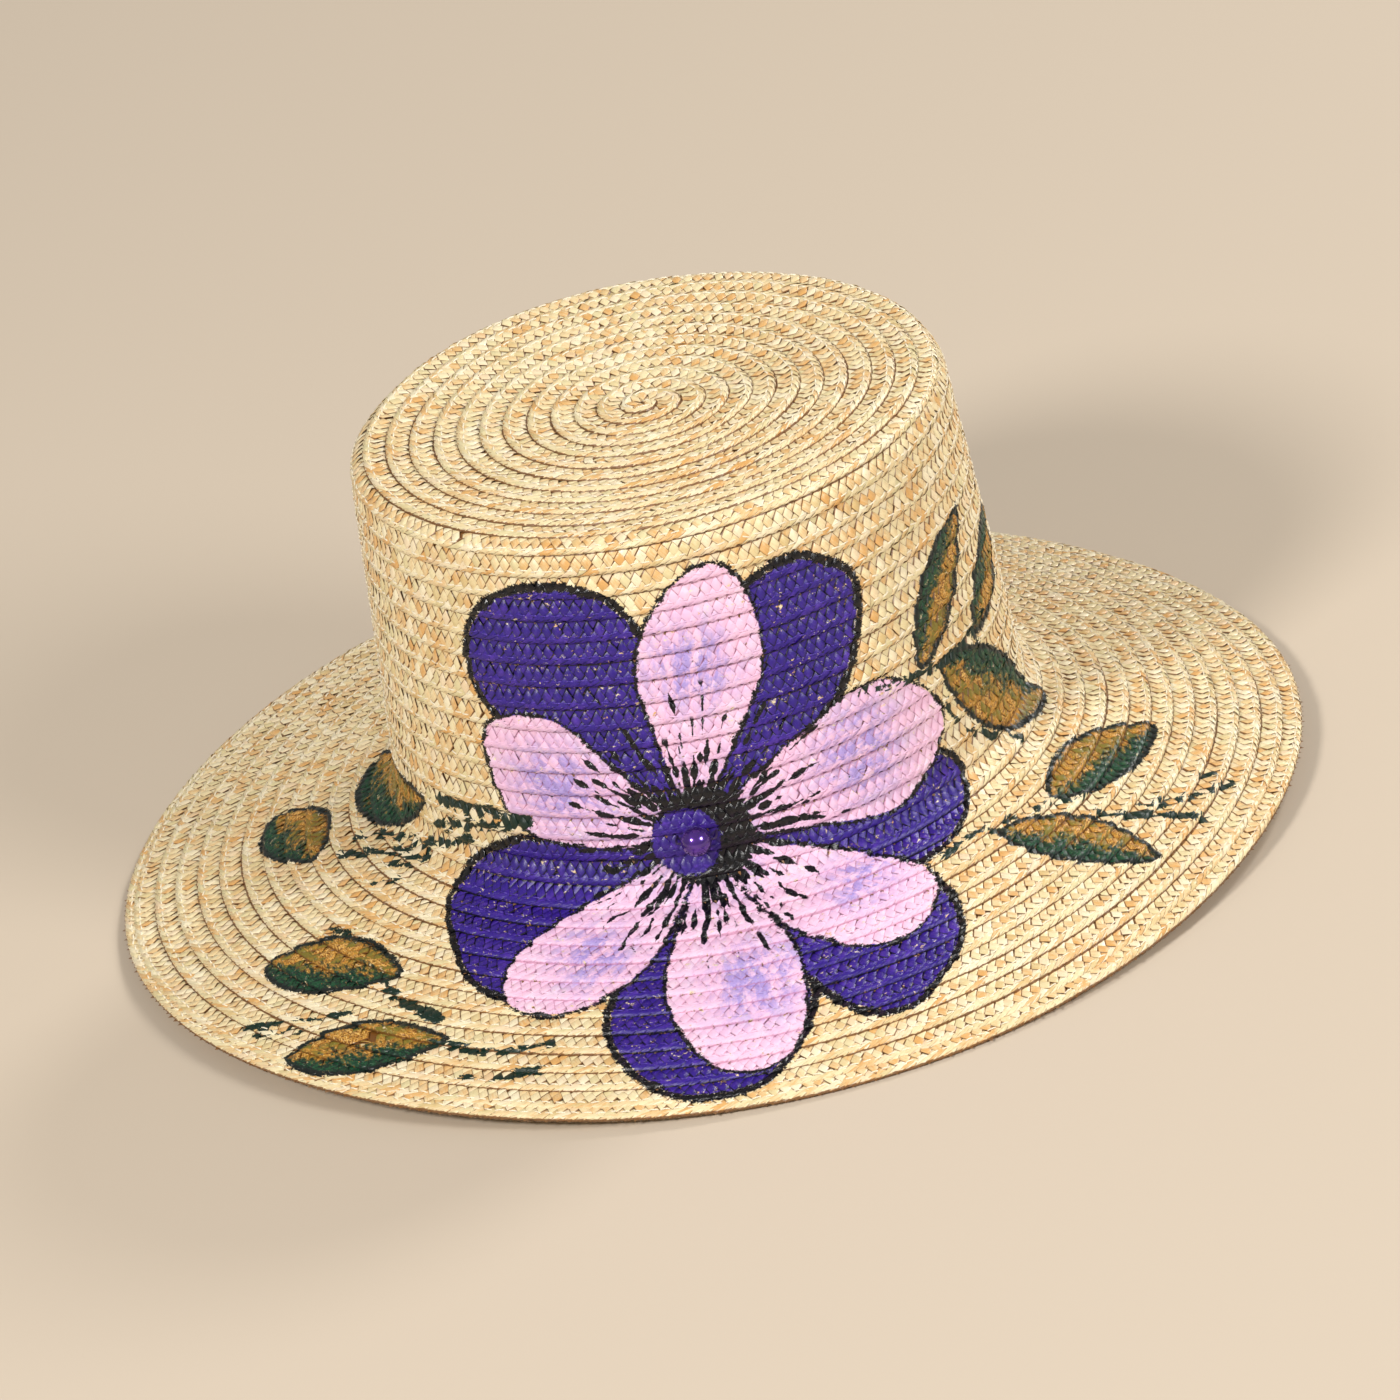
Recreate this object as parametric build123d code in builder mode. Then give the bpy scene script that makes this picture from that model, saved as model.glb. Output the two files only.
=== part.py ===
"""Wide-brimmed sun hat sewn from straw braid, with a flat tip, a bead trim and a sweatband.

Millimetres, +Z up. The hat stands on the edge of its brim: the floor is z = 0, the crown's axis is
the Z axis, and the front of the hat, where the bead is, faces -Y.

The hat is a body of revolution. Its meridian, from the centre of the tip to the edge of the brim,
is straight runs joined by arcs, and a place on it is (s, n): s is the length along the meridian,
and n is the height above the crests of the braid. Each round of braid lies on the next one out
like a roof tile, so the meridian has one step for each round.
"""
from build123d import *
import math
import os

# Driving dimensions
brim_radius = 178.0
crown_base_radius = 94.5
crown_tip_radius = 87.5
crown_height = 109.5
brim_slope = math.radians(17.5)
tip_corner_radius = 6.0
brim_corner_radius = 12.0

# The braid: a flat strip, lapped under its neighbour and sewn to it
braid_thickness = 1.1
braid_lap = 2.8
tip_rounds = 12
side_rounds = 16
brim_rounds = 12
bend_steps = 5  # flats that a round is drawn with where the meridian bends

# The finishing round under the edge of the brim, pressed flat where it rests
edge_braid_width = 7.0
pressed_depth = 0.3

# Sewing thread, and the part of each round's top, from edge to edge, that its seam lies in
thread_width = 0.5
thread_height = 0.3
seam_flat = (0.6, 0.8)

# The sweatband: a ribbon ring inside the head opening, sewn in by the hem at its lower edge
sweatband_radius = 88.8
sweatband_thickness = 0.7
sweatband_height = 28.0
sweatband_rise = 7.0
hem_width = 2.4
hem_height = 2.0

# The bead at the centre of the painted flower, sewn on through a hole along the crown
bead_diameter = 9.0
bead_hole_diameter = 1.2
bead_round = 25
bead_thread_diameter = 0.8
bead_thread_span = 11.6
bead_loop_radius = 1.6

# Meridian: the three straight runs and the two arcs between them
side_taper = math.atan2(crown_base_radius - crown_tip_radius, crown_height)
tip_turn = math.pi / 2 - side_taper
brim_turn = tip_turn - brim_slope
tip_tangent = tip_corner_radius * math.tan(tip_turn / 2)
brim_tangent = brim_corner_radius * math.tan(brim_turn / 2)
side_length = math.hypot(crown_base_radius - crown_tip_radius, crown_height)
brim_length = (brim_radius - crown_base_radius) / math.cos(brim_slope)
runs = [
    (crown_tip_radius - tip_tangent, 0.0),
    (tip_corner_radius * tip_turn, -1 / tip_corner_radius),
    (side_length - tip_tangent - brim_tangent, 0.0),
    (brim_corner_radius * brim_turn, 1 / brim_corner_radius),
    (brim_length - brim_tangent, 0.0),
]
meridian_length = sum(length for length, _ in runs)
corner_ends = [sum(length for length, _ in runs[: k + 1]) for k in range(4)]

rounds = tip_rounds + side_rounds + brim_rounds
pitch = (meridian_length - braid_lap) / rounds
step = braid_thickness
lap_drop = step * (1 + braid_lap / pitch)
strip_width = pitch + braid_lap


def meridian(s, n):
    """The point at length s along the meridian and height n above its crests, as radius and height."""
    radius, height, heading = 0.0, 0.0, 0.0
    for length, curvature in runs:
        part = min(s, length)
        if curvature:
            turned = heading + part * curvature
            radius += (math.sin(turned) - math.sin(heading)) / curvature
            height -= (math.cos(turned) - math.cos(heading)) / curvature
            heading = turned
        else:
            radius += part * math.cos(heading)
            height += part * math.sin(heading)
        s -= part
        if s <= 0:
            break
    return (radius - n * math.sin(heading), height + n * math.cos(heading))


# The floor is a little above the lowest corner of the finishing round, which is pressed flat on it
lowest_corner = meridian(meridian_length, -2 * step)
floor_level = lowest_corner[1] + pressed_depth
tip_height = -floor_level


def place(s, n):
    """A meridian place as a point of the XZ plane, with the floor at zero."""
    radius, height = meridian(s, n)
    return (radius, height - floor_level)


def run_of_points(start, end):
    """Points from one meridian place towards another, more of them where the meridian bends."""
    (s0, n0), (s1, n1) = start, end
    low, high = min(s0, s1), max(s0, s1)
    arcs = [(corner_ends[0], corner_ends[1]), (corner_ends[2], corner_ends[3])]
    bends = any(low < b and high > a for a, b in arcs)
    count = bend_steps if bends else 1
    return [place(s0 + (s1 - s0) * k / count, n0 + (n1 - n0) * k / count) for k in range(count)]


def lap_start(k):
    """Where round k begins, under the round before it."""
    return k * pitch


def under_lap(k):
    """The inner end of the lap between round k and the round before it."""
    return (lap_start(k), -lap_drop)


def over_lap(k):
    """The outer end of that lap, at the edge of the round before."""
    return (lap_start(k) + braid_lap, -step)


def braid_outline(first, last):
    """The section of the rounds first to last - 1, with a step at each edge, above and below."""
    corners = []
    if first == 0:
        corners.append((0.0, -lap_drop))
    else:
        corners.append(under_lap(first))
        corners.append(over_lap(first))
    for k in range(first, last):
        corners.append((lap_start(k) + strip_width, 0.0))
        corners.append(over_lap(k + 1))
    for k in range(last, first, -1):
        corners.append(under_lap(k))
        corners.append((lap_start(k - 1), -lap_drop - step))
    outline = []
    for start, end in zip(corners, corners[1:] + corners[:1]):
        outline += run_of_points(start, end)
    return outline


def on_round(k, part):
    """A place on the top of round k, at a part of the way from the last edge to its own edge."""
    return place(lap_start(k) + braid_lap + part * pitch, (part - 1) * step)


def seam_outline(k):
    """The section of the thread that sews round k down, on the flat between two points of its top."""
    inner, outer = Vector(*on_round(k, seam_flat[0])), Vector(*on_round(k, seam_flat[1]))
    along = (outer - inner).normalized()
    up = Vector(-along.Y, along.X)
    middle = (inner + outer) / 2
    start, end = middle - along * thread_width / 2, middle + along * thread_width / 2
    corners = [start, end, end + up * thread_height, start + up * thread_height]
    return [(corner.X, corner.Y) for corner in corners]


def revolve_outline(outline):
    """Turns a closed outline in the XZ plane round the crown's axis."""
    with BuildSketch(Plane.XZ) as section:
        with BuildLine():
            Polyline(*outline, close=True)
        make_face()
    revolve(section.sketch, axis=Axis.Z)


def save(piece, name):
    """Labels a finished piece and writes it to its own file."""
    piece.part.label = name
    export_step(piece.part, f"parts/{name}.step")


os.makedirs("parts", exist_ok=True)
side_start = tip_rounds
brim_start = tip_rounds + side_rounds

# The bead's place: halfway down the top of its round, at the front of the crown, clear of the
# seam there. Its own plane has x along the round and z out of the crown.
bead_foot = on_round(bead_round, 0.5)
bead_plane = Plane(
    origin=(0, -bead_foot[0], bead_foot[1]),
    x_dir=(1, 0, 0),
    z_dir=(0, -math.cos(side_taper), math.sin(side_taper)),
)
bead_rise = bead_diameter / 2 + thread_height
thread_depth = lap_drop + step + bead_thread_diameter / 2

# The thread that holds the bead: a closed loop through the bead and through the side of the crown
with BuildPart() as bead_thread:
    loop_plane = Plane(origin=bead_plane.origin, x_dir=bead_plane.x_dir, z_dir=-bead_plane.y_dir)
    with BuildSketch(loop_plane):
        with Locations((0, (bead_rise - thread_depth) / 2)):
            loop_rise = bead_rise + thread_depth
            for grow, mode in ((bead_thread_diameter, Mode.ADD), (-bead_thread_diameter, Mode.SUBTRACT)):
                corner = bead_loop_radius + grow / 2
                RectangleRounded(bead_thread_span + grow, loop_rise + grow, corner, mode=mode)
    extrude(amount=bead_thread_diameter / 2, both=True)
save(bead_thread, "bead_thread")

# The bead, a ball with a hole for its thread
with BuildPart() as pearl_bead:
    bead_centre = bead_plane.offset(bead_rise).origin
    with Locations(Plane(origin=bead_centre, z_dir=(1, 0, 0))):
        Sphere(bead_diameter / 2)
        Cylinder(bead_hole_diameter / 2, 2 * bead_diameter, mode=Mode.SUBTRACT)
save(pearl_bead, "pearl_bead")

# The disc of braid that makes the flat tip
with BuildPart() as crown_tip_braid:
    revolve_outline(braid_outline(0, side_start))
save(crown_tip_braid, "crown_tip_braid")

# The side of the crown, lapped under the tip, with the holes that the bead's thread passes through
with BuildPart() as crown_side_braid:
    revolve_outline(braid_outline(side_start, brim_start))
    add(bead_thread.part, mode=Mode.SUBTRACT)
save(crown_side_braid, "crown_side_braid")

# The brim, lapped under the side of the crown
with BuildPart() as brim_braid:
    revolve_outline(braid_outline(brim_start, rounds))
save(brim_braid, "brim_braid")

# The finishing round under the edge of the brim, pressed flat where the hat rests
with BuildPart() as brim_edge_braid:
    inner_s = meridian_length - edge_braid_width
    inner_n = -step - edge_braid_width * step / pitch
    revolve_outline(
        [
            place(meridian_length, -step),
            place(inner_s, inner_n),
            place(inner_s, inner_n - step),
            place(meridian_length, -2 * step),
        ]
    )
    split(bisect_by=Plane.XY, keep=Keep.TOP)
save(brim_edge_braid, "brim_edge_braid")

# The seams: one ring of thread on top of each round, near its edge
seams = {
    "tip_seam_thread": range(0, side_start),
    "side_seam_thread": range(side_start, brim_start),
    "brim_seam_thread": range(brim_start, rounds - 1),
    "edge_seam_thread": range(rounds - 1, rounds),
}
for name, sewn_rounds in seams.items():
    with BuildPart() as seam_thread:
        for k in sewn_rounds:
            revolve_outline(seam_outline(k))
    save(seam_thread, name)

# The sweatband and the thread that sews its hem to the crown
base_height = tip_height - crown_height
band_bottom = base_height + sweatband_rise
band_top = band_bottom + sweatband_height
band_outside = sweatband_radius + sweatband_thickness
with BuildPart() as sweatband:
    revolve_outline(
        [
            (sweatband_radius, band_bottom),
            (sweatband_radius + hem_width, band_bottom),
            (sweatband_radius + hem_width, band_bottom + sweatband_thickness),
            (band_outside, band_bottom + hem_height),
            (band_outside, band_top),
            (sweatband_radius, band_top),
        ]
    )
save(sweatband, "sweatband")

with BuildPart() as sweatband_thread:
    seam_radius = sweatband_radius + hem_width / 2
    revolve_outline(
        [
            (seam_radius, band_bottom - thread_height),
            (seam_radius + thread_width, band_bottom - thread_height),
            (seam_radius + thread_width, band_bottom),
            (seam_radius, band_bottom),
        ]
    )
save(sweatband_thread, "sweatband_thread")

print(f"pitch {pitch:.3f}, tip height {tip_height:.2f}, base height {base_height:.2f}")
print(f"bead centre {bead_centre}, lowest corner {lowest_corner}")
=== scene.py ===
"""A painted straw sun hat: braid sewn in a spiral from the tip's centre to the edge of the brim.

The hat's surface is worked out in millimetres on its meridian, as in the CAD model: s is the length
along the meridian from the centre of the tip, and n is the height above the crests of the braid.
A place round the hat is its angle. Meshes are written in metres.
"""
import math

import bpy
import numpy as np
from mathutils import Matrix, Vector


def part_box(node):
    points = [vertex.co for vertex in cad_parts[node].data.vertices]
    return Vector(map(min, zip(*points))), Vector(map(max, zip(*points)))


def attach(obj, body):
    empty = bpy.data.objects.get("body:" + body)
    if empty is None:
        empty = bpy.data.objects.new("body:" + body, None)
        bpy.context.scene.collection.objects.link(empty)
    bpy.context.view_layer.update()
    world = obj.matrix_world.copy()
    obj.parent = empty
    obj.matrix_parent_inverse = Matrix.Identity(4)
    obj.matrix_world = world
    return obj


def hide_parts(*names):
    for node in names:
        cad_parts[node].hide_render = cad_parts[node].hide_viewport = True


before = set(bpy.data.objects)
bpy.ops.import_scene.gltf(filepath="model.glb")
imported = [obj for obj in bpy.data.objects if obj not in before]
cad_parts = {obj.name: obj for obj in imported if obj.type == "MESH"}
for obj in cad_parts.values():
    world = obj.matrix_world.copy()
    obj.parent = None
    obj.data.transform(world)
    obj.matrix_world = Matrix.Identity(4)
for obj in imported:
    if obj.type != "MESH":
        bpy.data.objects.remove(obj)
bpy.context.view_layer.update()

MM = 0.001
TURN = 2 * math.pi
rng = np.random.default_rng(7)

# ----------------------------------------------------------------------
# Dimensions of the hat, in millimetres
# ----------------------------------------------------------------------
tip_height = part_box("crown_tip_braid")[1][2] / MM
brim_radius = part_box("brim_braid")[1][0] / MM
crown_base_radius = 94.5
crown_tip_radius = 87.5
crown_height = 109.5
brim_slope = math.radians(17.5)
tip_corner_radius = 6.0
brim_corner_radius = 12.0
braid_lap = 2.8
step = 1.1
brim_shift = (-3.9, -3.0)  # how far the edge of the brim sits off centre
tip_rounds, side_rounds, brim_rounds = 12, 16, 12

side_taper = math.atan2(crown_base_radius - crown_tip_radius, crown_height)
tip_turn = math.pi / 2 - side_taper
brim_turn = tip_turn - brim_slope
tip_tangent = tip_corner_radius * math.tan(tip_turn / 2)
brim_tangent = brim_corner_radius * math.tan(brim_turn / 2)
RUNS = [
    (crown_tip_radius - tip_tangent, 0.0),
    (tip_corner_radius * tip_turn, -1 / tip_corner_radius),
    (math.hypot(crown_base_radius - crown_tip_radius, crown_height) - tip_tangent - brim_tangent, 0.0),
    (brim_corner_radius * brim_turn, 1 / brim_corner_radius),
    ((brim_radius - crown_base_radius) / math.cos(brim_slope) - brim_tangent, 0.0),
]
meridian_length = sum(length for length, _ in RUNS)
brim_start = sum(length for length, _ in RUNS[:4])
rounds = tip_rounds + side_rounds + brim_rounds
pitch = (meridian_length - braid_lap) / rounds
strip_width = pitch + braid_lap
lap_drop = step * (1 + braid_lap / pitch)

# The straws of the braid
straw_pitch = 3.2  # from one straw to the next, along the braid
straw_slant = 0.7  # how far a straw runs along the braid for each unit across it


def meridian(s):
    """Radius, height and heading of the crest line at length s, for an array of lengths."""
    s = np.clip(s, 0, None)
    radius, height = np.zeros_like(s), np.full_like(s, tip_height)
    heading, rest = np.zeros_like(s), s.copy()
    for length, curvature in RUNS:
        part = np.clip(rest, 0, length) if curvature or length != RUNS[-1][0] else rest
        if curvature:
            turned = heading + part * curvature
            radius = radius + (np.sin(turned) - np.sin(heading)) / curvature
            height = height - (np.cos(turned) - np.cos(heading)) / curvature
            heading = turned
        else:
            radius = radius + part * np.cos(heading)
            height = height + part * np.sin(heading)
        rest = np.clip(rest - length, 0, None)
    return radius, height, heading


def brim_wave(angle):
    """How far the edge of the brim lifts off the floor, round the hat."""
    return 2.6 * (1 + np.cos(3 * angle + math.radians(35)))


def surface(angle, s, n):
    """Points in space, in millimetres, for arrays of angle, length along the meridian and height."""
    radius, height, heading = meridian(s)
    bulge = 0.45 * np.sin(2 * angle + 0.8) + 0.35 * np.sin(3 * angle + 2.1) + 0.2 * np.sin(5 * angle + s / 23)
    on_crown = np.clip(s / 60, 0, 1) * np.clip((brim_start + 30 - s) / 60, 0, 1)
    radius = radius - n * np.sin(heading) + bulge * on_crown
    on_brim = np.clip((s - brim_start + 8) / (meridian_length - brim_start + 8), 0, 1.1)
    height = height + n * np.cos(heading) + brim_wave(angle) * on_brim**1.4
    x = radius * np.cos(angle) + brim_shift[0] * on_brim
    y = radius * np.sin(angle) + brim_shift[1] * on_brim
    return np.stack([x, y, np.maximum(height, 0.02)], axis=-1)


# ----------------------------------------------------------------------
# The spiral: turn t of the braid, from its start at the centre to its end at the brim's edge
# ----------------------------------------------------------------------
spiral_start = -0.9
tip_end_angle = math.radians(-129)  # where the tip's last round ends, round the hat


def angle_at(turn):
    """The angle round the hat where the braid is at this turn. It is sewn clockwise from above."""
    return tip_end_angle - (turn - tip_rounds) * TURN


def inner_edge(turn):
    """Where the braid's inner edge is on the meridian, with a little unevenness in the sewing."""
    uneven = 0.14 * np.sin(turn * 7.3 + 1.0) + 0.12 * np.sin(turn * 23.7) + 0.08 * np.sin(turn * 41.3 + 2)
    wanted = pitch * (turn - 0.5) + uneven
    return np.minimum(wanted, meridian_length - strip_width)


turn_table = np.linspace(spiral_start, rounds + 0.5, 40000)
middle_radius = meridian(np.clip(inner_edge(turn_table) + (braid_lap + strip_width) / 2, 1.5, None))[0]
length_table = np.concatenate([[0], np.cumsum(middle_radius[1:] * np.diff(turn_table) * TURN)])


def turn_at(length):
    """The turn at a length along the braid."""
    return np.interp(length, length_table, turn_table)


def length_at(turn):
    """The length along the braid at a turn."""
    return float(np.interp(turn, turn_table, length_table))


# ----------------------------------------------------------------------
# Mesh helpers
# ----------------------------------------------------------------------
def grid_faces(rows, columns):
    """Quads of a grid of rows by columns of points, numbered row by row."""
    corner = (np.arange(rows - 1)[:, None] * columns + np.arange(columns - 1)[None, :]).ravel()
    return np.stack([corner, corner + 1, corner + columns + 1, corner + columns], axis=-1)


class Patchwork:
    """Collects many small patches of quads with their point attributes, to make one mesh."""

    def __init__(self):
        self.points, self.faces, self.values, self.count = [], [], {}, 0

    def add(self, points, faces, flip=False, **values):
        """Adds patches: points is (patches, points, 3) and faces is the quads of one patch."""
        patches, size = points.shape[:2]
        every = faces[None] + (np.arange(patches) * size)[:, None, None] + self.count
        self.faces.append((every[..., ::-1] if flip else every).reshape(-1, 4))
        self.points.append(points.reshape(-1, 3))
        for name, value in values.items():
            self.values.setdefault(name, []).append(np.asarray(value, float).reshape(patches * size, -1))
        self.count += patches * size

    def build(self, name, material):
        """Makes the object."""
        points = np.concatenate(self.points) * MM
        faces = np.concatenate(self.faces)
        mesh = bpy.data.meshes.new(name)
        mesh.vertices.add(len(points))
        mesh.vertices.foreach_set("co", points.ravel())
        mesh.loops.add(faces.size)
        mesh.loops.foreach_set("vertex_index", faces.ravel())
        mesh.polygons.add(len(faces))
        mesh.polygons.foreach_set("loop_start", np.arange(0, faces.size, 4))
        mesh.polygons.foreach_set("use_smooth", np.ones(len(faces), bool))
        mesh.update(calc_edges=True)
        for key, parts in self.values.items():
            data = np.concatenate(parts)
            kind = "FLOAT" if data.shape[1] == 1 else "FLOAT_VECTOR"
            layer = mesh.attributes.new(key, kind, "POINT")
            layer.data.foreach_set("value" if kind == "FLOAT" else "vector", data.ravel())
        mesh.materials.append(material)
        piece = bpy.data.objects.new(name, mesh)
        bpy.context.scene.collection.objects.link(piece)
        return piece


# ----------------------------------------------------------------------
# The painted flower and leaves, in millimetres over the hat's surface
# ----------------------------------------------------------------------
FLOWER_PLACE = (-90.0, 179.9)  # angle in degrees and length along the meridian of the bead's foot
LEFT_PLACE = (-145.0, 225.0)
RIGHT_PLACE = (-40.0, 205.0)

# Petals: the direction that each points in, in degrees, its length and width, the bend of its middle
# line and the depth of the notch in its tip
BACK_PETALS = [
    (124, 92, 56, -5, 2),
    (52, 92, 46, 4, 4),
    (-10, 92, 34, -3, 3),
    (-46, 106, 44, 3, 6),
    (-87, 99, 56, -2, 4),
    (-154, 93, 54, 3, 5),
]
FRONT_PETALS = [
    (77, 84, 36, 2, 0),
    (6, 86, 39, 4, 0),
    (-34, 88, 31, -3, 4),
    (-79, 91, 40, -2, 1),
    (-135, 83, 33, 3, 0),
    (151, 69, 38, 4, 0),
]

# Leaves: angle and length along the meridian of the middle, direction in degrees, length, width,
# bend of the midrib, and the side that is dark green
LEAVES = [
    dict(angle=-172, s=190, turn=17, length=76, width=21, bend=-3, green=-1),
    dict(angle=-176, s=227, turn=16, length=42, width=22, bend=2, green=-1),
    dict(angle=-141.5, s=243, turn=20, length=50, width=24, bend=3, green=-1),
    dict(angle=-127.5, s=264.5, turn=25, length=50, width=22, bend=2, green=-1),
    dict(angle=-28.5, s=138, turn=42, length=52, width=18, bend=3, green=1),
    dict(angle=-8, s=149, turn=22, length=52, width=17, bend=2, green=1),
    dict(angle=-18, s=178, turn=-37, length=70, width=24, bend=-3, green=1),
    dict(angle=-18.2, s=226, turn=-18, length=55, width=23, bend=4, green=-1),
    dict(angle=-36.6, s=237, turn=-64, length=51, width=21, bend=3, green=-1),
]
# Brushed stems and dashes: the place that they are measured from, their width and their points
STROKES = [
    (FLOWER_PLACE, 0.9, [(57, 27), (72, 25), (86, 22), (100, 22), (116, 24)]),
    (FLOWER_PLACE, 0.5, [(88, 10), (90, 3), (95, -2), (103, -8), (112, -13), (125, -20)]),
    (FLOWER_PLACE, 0.4, [(73, -32), (88, -31), (97, -34), (104, -40)]),
    (FLOWER_PLACE, 0.7, [(-83, -77), (-60, -76), (-45, -72)]),
    (FLOWER_PLACE, 0.5, [(-72, -88), (-58, -85), (-47, -82)]),
    (RIGHT_PLACE, 0.5, [(0, -8), (10, -11), (20, -16), (26, -20)]),
    (RIGHT_PLACE, 1.1, [(23, -28), (28, -35), (34, -42), (40, -50), (46, -58)]),
    (RIGHT_PLACE, 0.8, [(35, -37), (45, -45), (55, -52), (66, -58)]),
    (RIGHT_PLACE, 0.4, [(60, -48), (67, -52)]),
    (LEFT_PLACE, 1.4, [(38, 50), (20, 51), (1, 49)]),
    (LEFT_PLACE, 1.0, [(31, 48), (12, 44), (-2, 40)]),
    (LEFT_PLACE, 0.6, [(15, 40), (0, 34), (-15, 30), (-30, 25), (-42, 17)]),
    (LEFT_PLACE, 0.9, [(-5, 28), (-20, 23), (-38, 11)]),
    (LEFT_PLACE, 0.6, [(-8, 25), (-17, 20)]),
    (LEFT_PLACE, 0.5, [(-6, 19), (-13, 12)]),
    (LEFT_PLACE, 0.4, [(-1, -4), (-10, -6)]),
    (LEFT_PLACE, 1.1, [(30, -14), (38, -18), (50, -20), (60, -23)]),
    (LEFT_PLACE, 0.5, [(32, -28), (20, -36), (5, -46)]),
    (LEFT_PLACE, 0.7, [(23, -39), (12, -47)]),
]
FAR = 50.0


def petal_outline(bearing, length, width, bend, notch):
    """A plain petal from the bead outwards, broad near its tip, with a slight wave along its sides."""
    along = 1 - np.linspace(1, 0, 18) ** 1.7
    half = width / 2 * np.sin(math.pi * along**1.7) ** 0.6 * (1 + 0.05 * np.sin(11 * along + bearing))
    across = np.concatenate([half, -half[-2:0:-1]])
    along = np.concatenate([along, along[-2:0:-1]])
    reach = length * along - notch * along**6 * np.exp(-((across / (0.22 * width)) ** 2))
    across = across + bend * 4 * along * (1 - along)
    turn = math.radians(bearing)
    x = reach * math.cos(turn) - across * math.sin(turn)
    y = reach * math.sin(turn) + across * math.cos(turn)
    return np.stack([x, y], axis=-1)


def smooth_outline(points, closed=True, samples=6):
    """A smooth curve through given points (Catmull-Rom), as short straight pieces."""
    points = np.array(points, float)
    if not closed:
        points = np.vstack([2 * points[0] - points[1], points, 2 * points[-1] - points[-2]])
    before, start = np.roll(points, 1, 0), points
    end, after = np.roll(points, -1, 0), np.roll(points, -2, 0)
    if not closed:
        before, start, end, after = (part[1:-2] for part in (before, start, end, after))
    t = np.linspace(0, 1, samples, endpoint=False)[None, :, None]
    before, start, end, after = (part[:, None] for part in (before, start, end, after))
    curve = (
        2 * start
        + (end - before) * t
        + (2 * before - 5 * start + 4 * end - after) * t**2
        + (3 * start - before - 3 * end + after) * t**3
    ) / 2
    curve = curve.reshape(-1, 2)
    return curve if closed else np.vstack([curve, points[-2]])


def line_distance(x, y, line, closed=False):
    """Distance from each place to a line, and for a closed one its sign, negative inside."""
    reach = 15.0
    low, high = line.min(0) - reach, line.max(0) + reach
    near = np.flatnonzero((x > low[0]) & (x < high[0]) & (y > low[1]) & (y < high[1]))
    distance = np.full(x.shape, FAR)
    starts, ends = (line, np.roll(line, -1, 0)) if closed else (line[:-1], line[1:])
    best, inside = np.full(near.shape, FAR), np.zeros(near.shape, bool)
    px, py = x[near], y[near]
    for (x0, y0), (x1, y1) in zip(starts, ends):
        dx, dy = x1 - x0, y1 - y0
        along = np.clip(((px - x0) * dx + (py - y0) * dy) / (dx * dx + dy * dy + 1e-9), 0, 1)
        best = np.minimum(best, np.hypot(px - x0 - along * dx, py - y0 - along * dy))
        if closed and y0 != y1:
            inside ^= ((y0 > py) != (y1 > py)) & (px < dx * (py - y0) / dy + x0)
    distance[near] = np.where(inside, -best, best)
    return distance


def panel(angle, s, place):
    """Millimetres to the right of and above a place on the hat, over its surface."""
    turned = (angle - math.radians(place[0]) + math.pi) % TURN - math.pi
    return meridian(s)[0] * turned, place[1] - s


def painted(angle, s, outside=True):
    """The painting's fields at places on the hat, for the paint's shader. The inside isn't painted."""
    angle, s, outside = np.broadcast_arrays(angle, s, outside)
    shape = angle.shape
    angle, s, outside = angle.ravel(), s.ravel(), outside.ravel()
    x, y = panel(angle, s, FLOWER_PLACE)
    x = np.where(outside, x, x + 1000)
    fields = {name: np.full(s.shape, FAR) for name in ("front", "back", "leaf", "stem")}
    side, lavender = np.zeros(s.shape), np.zeros(s.shape)
    if outside.any():
        for name, petals in (("front", FRONT_PETALS), ("back", BACK_PETALS)):
            for petal in petals:
                distance = line_distance(x, y, petal_outline(*petal), closed=True)
                fields[name] = np.minimum(fields[name], distance)
        for bearing, length, width, _, _ in FRONT_PETALS:
            turn = math.radians(bearing + 5)
            away = np.hypot(x - 0.62 * length * math.cos(turn), y - 0.62 * length * math.sin(turn))
            lavender = np.maximum(lavender, np.exp(-((away / (0.4 * width)) ** 2)))
        for place, width, points in STROKES:
            line = smooth_outline(points, closed=False)
            fields["stem"] = np.minimum(fields["stem"], line_distance(*panel(angle, s, place), line) - width)
        for leaf in LEAVES:
            lx, ly = panel(angle, s, (leaf["angle"], leaf["s"]))
            turn = math.radians(leaf["turn"])
            along = (lx * math.cos(turn) + ly * math.sin(turn)) / leaf["length"] + 0.5
            part = np.clip(along, 0, 1)
            across = ly * math.cos(turn) - lx * math.sin(turn) - leaf["bend"] * 4 * part * (1 - part)
            half = leaf["width"] / 2 * np.sin(math.pi * part**0.9) ** 0.75
            past = np.abs(along - part) * leaf["length"]
            beyond = np.abs(across) - half
            distance = np.hypot(np.maximum(beyond, 0), past) + np.minimum(beyond, 0)
            nearer = (distance < fields["leaf"]) & (np.hypot(lx, ly) < 60)
            fields["leaf"] = np.where(nearer, distance, fields["leaf"])
            side = np.where(nearer, leaf["green"] * across / (half + 2), side)
        fields = {name: np.where(outside, field, FAR) for name, field in fields.items()}
    return dict(
        motif=np.stack([x, y, s], axis=-1).reshape(*shape, 3),
        petals=np.stack([fields["front"], fields["back"], lavender], axis=-1).reshape(*shape, 3),
        leaves=np.stack([fields["leaf"], side, fields["stem"]], axis=-1).reshape(*shape, 3),
    )


# ----------------------------------------------------------------------
# The braid's straws: p runs along a straw and q over its width, both from 0 to 1. On the braid, a is
# the length along it and b the place across it, from the last round's edge.
# ----------------------------------------------------------------------
half_straw = straw_pitch / 2
tooth = half_straw / straw_slant
first_tooth = 0.4  # from the last round's edge to the tops of the big straws
big_length = tooth + 0.35
fold_radius = 0.75
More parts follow.
